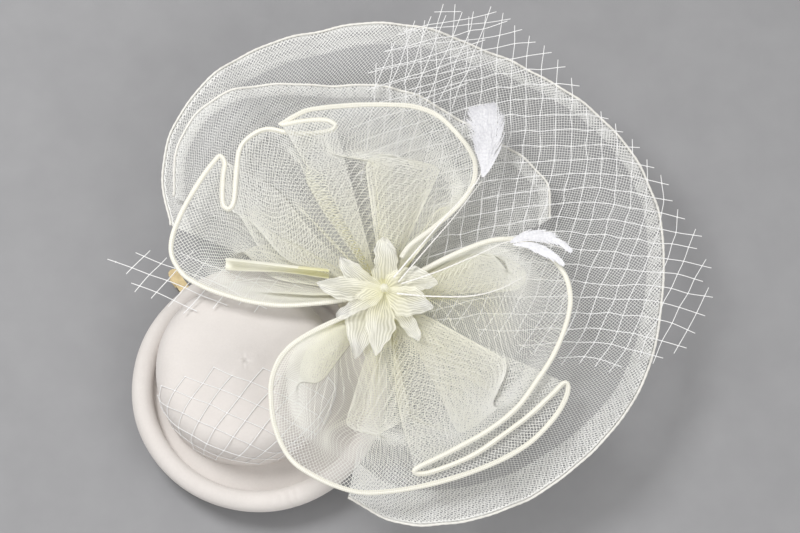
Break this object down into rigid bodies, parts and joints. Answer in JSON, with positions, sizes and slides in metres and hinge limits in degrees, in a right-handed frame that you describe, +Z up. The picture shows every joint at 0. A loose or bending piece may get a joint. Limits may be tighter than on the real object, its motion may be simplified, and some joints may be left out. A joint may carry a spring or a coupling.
{
  "type": "fascinator headpiece",
  "caption": "Small rolled-brim hat with a gathered mesh fan, netting, corded mesh bow loops, a petal flower, feathers and sprung hair clips under the brim.",
  "frame": {"origin": "centre of the hat brim's underside, where the piece sits on the head", "axes": "+Z up out of the crown, +X to the wearer's left towards the bow and fan, +Y towards the fan's far side"},
  "size_m": [0.4005, 0.3621, 0.0871],
  "materials": {
    "felt": "matt",
    "lining": "satin",
    "ribbon": "satin",
    "mesh": "sheer",
    "bow_mesh": "sheer",
    "cord": "silky",
    "net": "matt",
    "petal": "sheer",
    "feather": "soft",
    "thread": "matt",
    "pad": "matt",
    "wire": "plain",
    "clip_metal": "satin",
    "spring_steel": "plain"
  },
  "bodies": {
    "headpiece": {"hat_crown": "felt", "hat_brim": "felt", "brim_wire": "wire", "crown_lining": "lining", "inner_ribbon": "ribbon", "base_pad": "pad", "gather_core": "mesh", "thread_binding": "thread", "fan_mesh": "mesh", "fan_rim_wire": "cord", "inner_fan_mesh": "mesh", "inner_fan_edge": "cord", "upper_bow_mesh": "bow_mesh", "upper_bow_cord": "cord", "lower_bow_mesh": "bow_mesh", "lower_bow_cord": "cord", "veil_net": "net", "crown_net": "net", "side_net": "net", "ribbon_roll": "ribbon", "flower_core": "petal", "petal_1": "petal", "petal_2": "petal", "petal_3": "petal", "petal_4": "petal", "petal_5": "petal", "petal_6": "petal", "petal_7": "petal", "petal_8": "petal", "petal_9": "petal", "upper_feather_vane": "feather", "lower_feather_vane": "feather", "feather_quill_1": "feather", "feather_quill_2": "feather", "feather_quill_3": "feather", "feather_quill_4": "feather", "clip_a_felt": "pad", "clip_a_jaw": "clip_metal", "clip_a_pin": "clip_metal", "clip_a_spring": "spring_steel", "clip_b_felt": "pad", "clip_b_jaw": "clip_metal", "clip_b_pin": "clip_metal", "clip_b_spring": "spring_steel"},
    "clip_a_lever": {"clip_a_lever": "clip_metal"},
    "clip_b_lever": {"clip_b_lever": "clip_metal"}
  },
  "joints": [
    {"name": "clip_a_open", "type": "hinge", "parent": "headpiece", "child": "clip_a_lever", "pos_m": [-0.04937, 0.06796, -0.0052], "axis": [0.809, 0.5878, 0], "range_deg": [0, 18], "stiffness_Nm_per_rad": 0.05, "springref_deg": -17.19, "deforming": ["clip_a_spring"]},
    {"name": "clip_b_open", "type": "hinge", "parent": "headpiece", "child": "clip_b_lever", "pos_m": [0.06796, 0.04937, -0.0052], "axis": [0.5878, -0.809, 0], "range_deg": [0, 18], "stiffness_Nm_per_rad": 0.05, "springref_deg": -17.19, "deforming": ["clip_b_spring"]}
  ]
}
